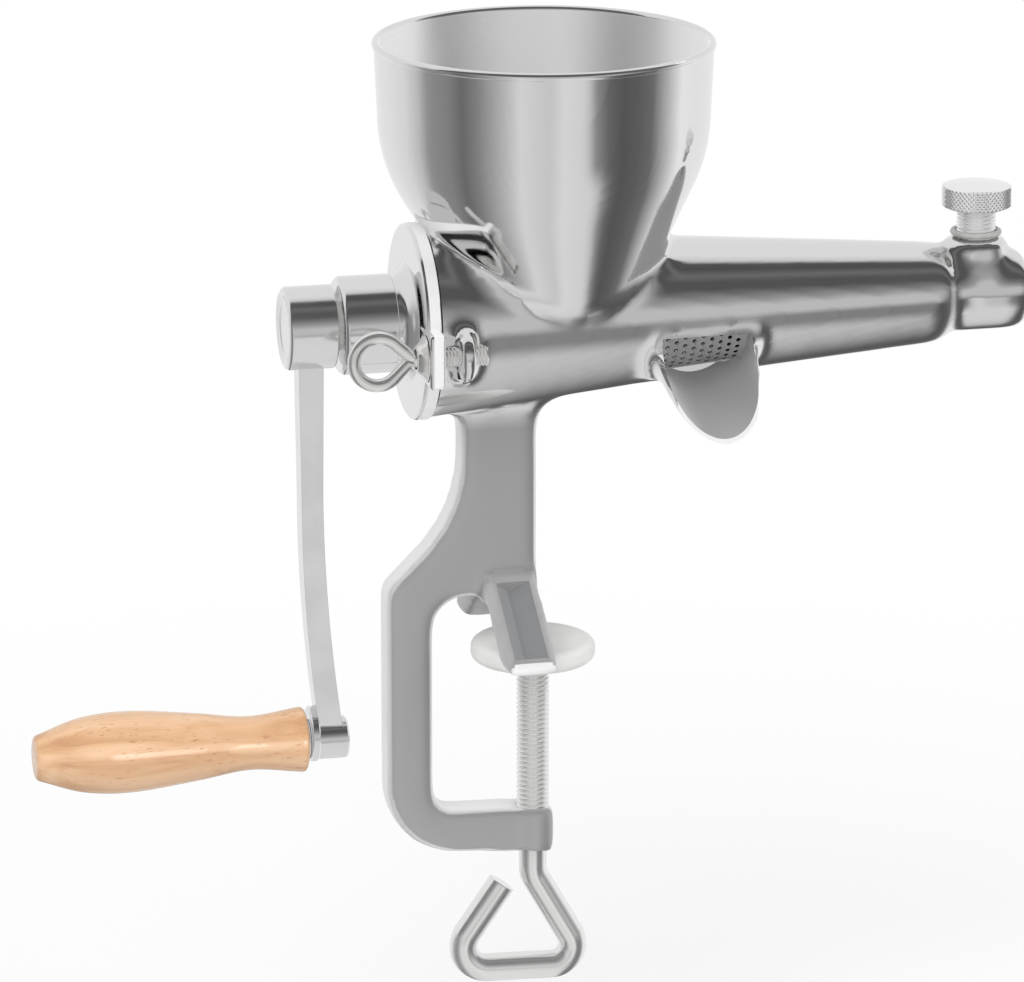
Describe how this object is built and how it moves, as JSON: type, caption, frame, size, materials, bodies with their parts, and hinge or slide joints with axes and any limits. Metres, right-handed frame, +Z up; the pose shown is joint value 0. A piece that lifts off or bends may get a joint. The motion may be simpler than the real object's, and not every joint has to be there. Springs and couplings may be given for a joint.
{
  "type": "manual juicer",
  "caption": "Hand-cranked auger juicer with a round hopper, tapered barrel, side juice spout, pulp outlet and a screw clamp for a table edge.",
  "frame": {"origin": "on the clamp screw's axis, in the plane of the table top, at the middle of the closed pad's top face", "axes": "+X along the barrel from the crank to the pulp outlet, +Y away from the juice spout, +Z up"},
  "size_m": [0.3069, 0.1022, 0.296],
  "materials": {
    "polished_steel": "cast stainless steel, polished outside, satin inside the hopper",
    "sheet_steel": "perforated stainless sheet, satin",
    "bright_steel": "bright plated steel rod and small parts",
    "bronze": "sintered bearing bronze, hidden inside",
    "gasket_rubber": "matt black rubber",
    "pad_plastic": "pale moulded plastic",
    "beech": "turned beech, clear varnish"
  },
  "bodies": {
    "root": {"body_casting": "polished_steel", "strainer_screen": "sheet_steel", "end_cap": "polished_steel", "cap_gasket": "gasket_rubber", "bearing_bush": "bronze", "shaft_seal": "gasket_rubber"},
    "front_collar": {"front_eye_collar": "bright_steel"},
    "front_eye": {"front_eye_bolt": "bright_steel"},
    "rear_collar": {"rear_eye_collar": "bright_steel"},
    "rear_eye": {"rear_eye_bolt": "bright_steel"},
    "crank": {"auger": "polished_steel", "thrust_washer": "bronze", "crank_arm": "polished_steel", "crank_set_screw": "bright_steel", "grip_spindle": "bright_steel", "grip_washer": "bright_steel"},
    "grip": {"grip": "beech", "grip_bush": "bright_steel"},
    "pressure_ring": {"pressure_seal": "gasket_rubber"},
    "pressure_screw": {"pressure_screw": "bright_steel"},
    "clamp_pad": {"clamp_pad_disc": "bright_steel", "clamp_pad_cover": "pad_plastic", "clamp_pad_ring": "bright_steel"},
    "clamp_screw": {"clamp_screw": "bright_steel"}
  },
  "joints": [
    {"name": "crank_turn", "type": "hinge", "parent": "root", "child": "crank", "pos_m": [0, 0, 0.1016], "axis": [1, 0, 0], "continuous": true},
    {"name": "grip_spin", "type": "hinge", "parent": "crank", "child": "grip", "pos_m": [-0.082, 0, -0.0271], "axis": [1, 0, 0], "continuous": true},
    {"name": "clamp_travel", "type": "slide", "parent": "root", "child": "clamp_pad", "axis": [0, 0, -1], "range_m": [0, 0.04]},
    {"name": "clamp_turn", "type": "hinge", "parent": "clamp_pad", "child": "clamp_screw", "pos_m": [0, 0, -0.01], "axis": [0, 0, -1], "range_deg": [0, 9600]},
    {"name": "pressure_turn", "type": "hinge", "parent": "root", "child": "pressure_ring", "pos_m": [0.1382, 0, 0.1188], "axis": [0, 0, -1], "range_deg": [-1440, 1944]},
    {"name": "pressure_travel", "type": "slide", "parent": "pressure_ring", "child": "pressure_screw", "axis": [0, 0, -1], "range_m": [-0.005, 0.00675]},
    {"name": "front_eye_turn", "type": "hinge", "parent": "root", "child": "front_collar", "pos_m": [-0.041, -0.03, 0.0978], "axis": [-1, 0, 0], "range_deg": [0, 2880]},
    {"name": "front_eye_travel", "type": "slide", "parent": "front_collar", "child": "front_eye", "axis": [-1, 0, 0], "range_m": [0, 0.008]},
    {"name": "rear_eye_turn", "type": "hinge", "parent": "root", "child": "rear_collar", "pos_m": [-0.041, 0.03, 0.0978], "axis": [-1, 0, 0], "range_deg": [0, 2880]},
    {"name": "rear_eye_travel", "type": "slide", "parent": "rear_collar", "child": "rear_eye", "axis": [-1, 0, 0], "range_m": [0, 0.008]}
  ],
  "couplings": [
    {"joint": "clamp_turn", "follows": "clamp_travel", "rad_per_m": 4188.8},
    {"joint": "pressure_turn", "follows": "pressure_travel", "rad_per_m": 5026.5},
    {"joint": "front_eye_turn", "follows": "front_eye_travel", "rad_per_m": 6283.2},
    {"joint": "rear_eye_turn", "follows": "rear_eye_travel", "rad_per_m": 6283.2}
  ]
}
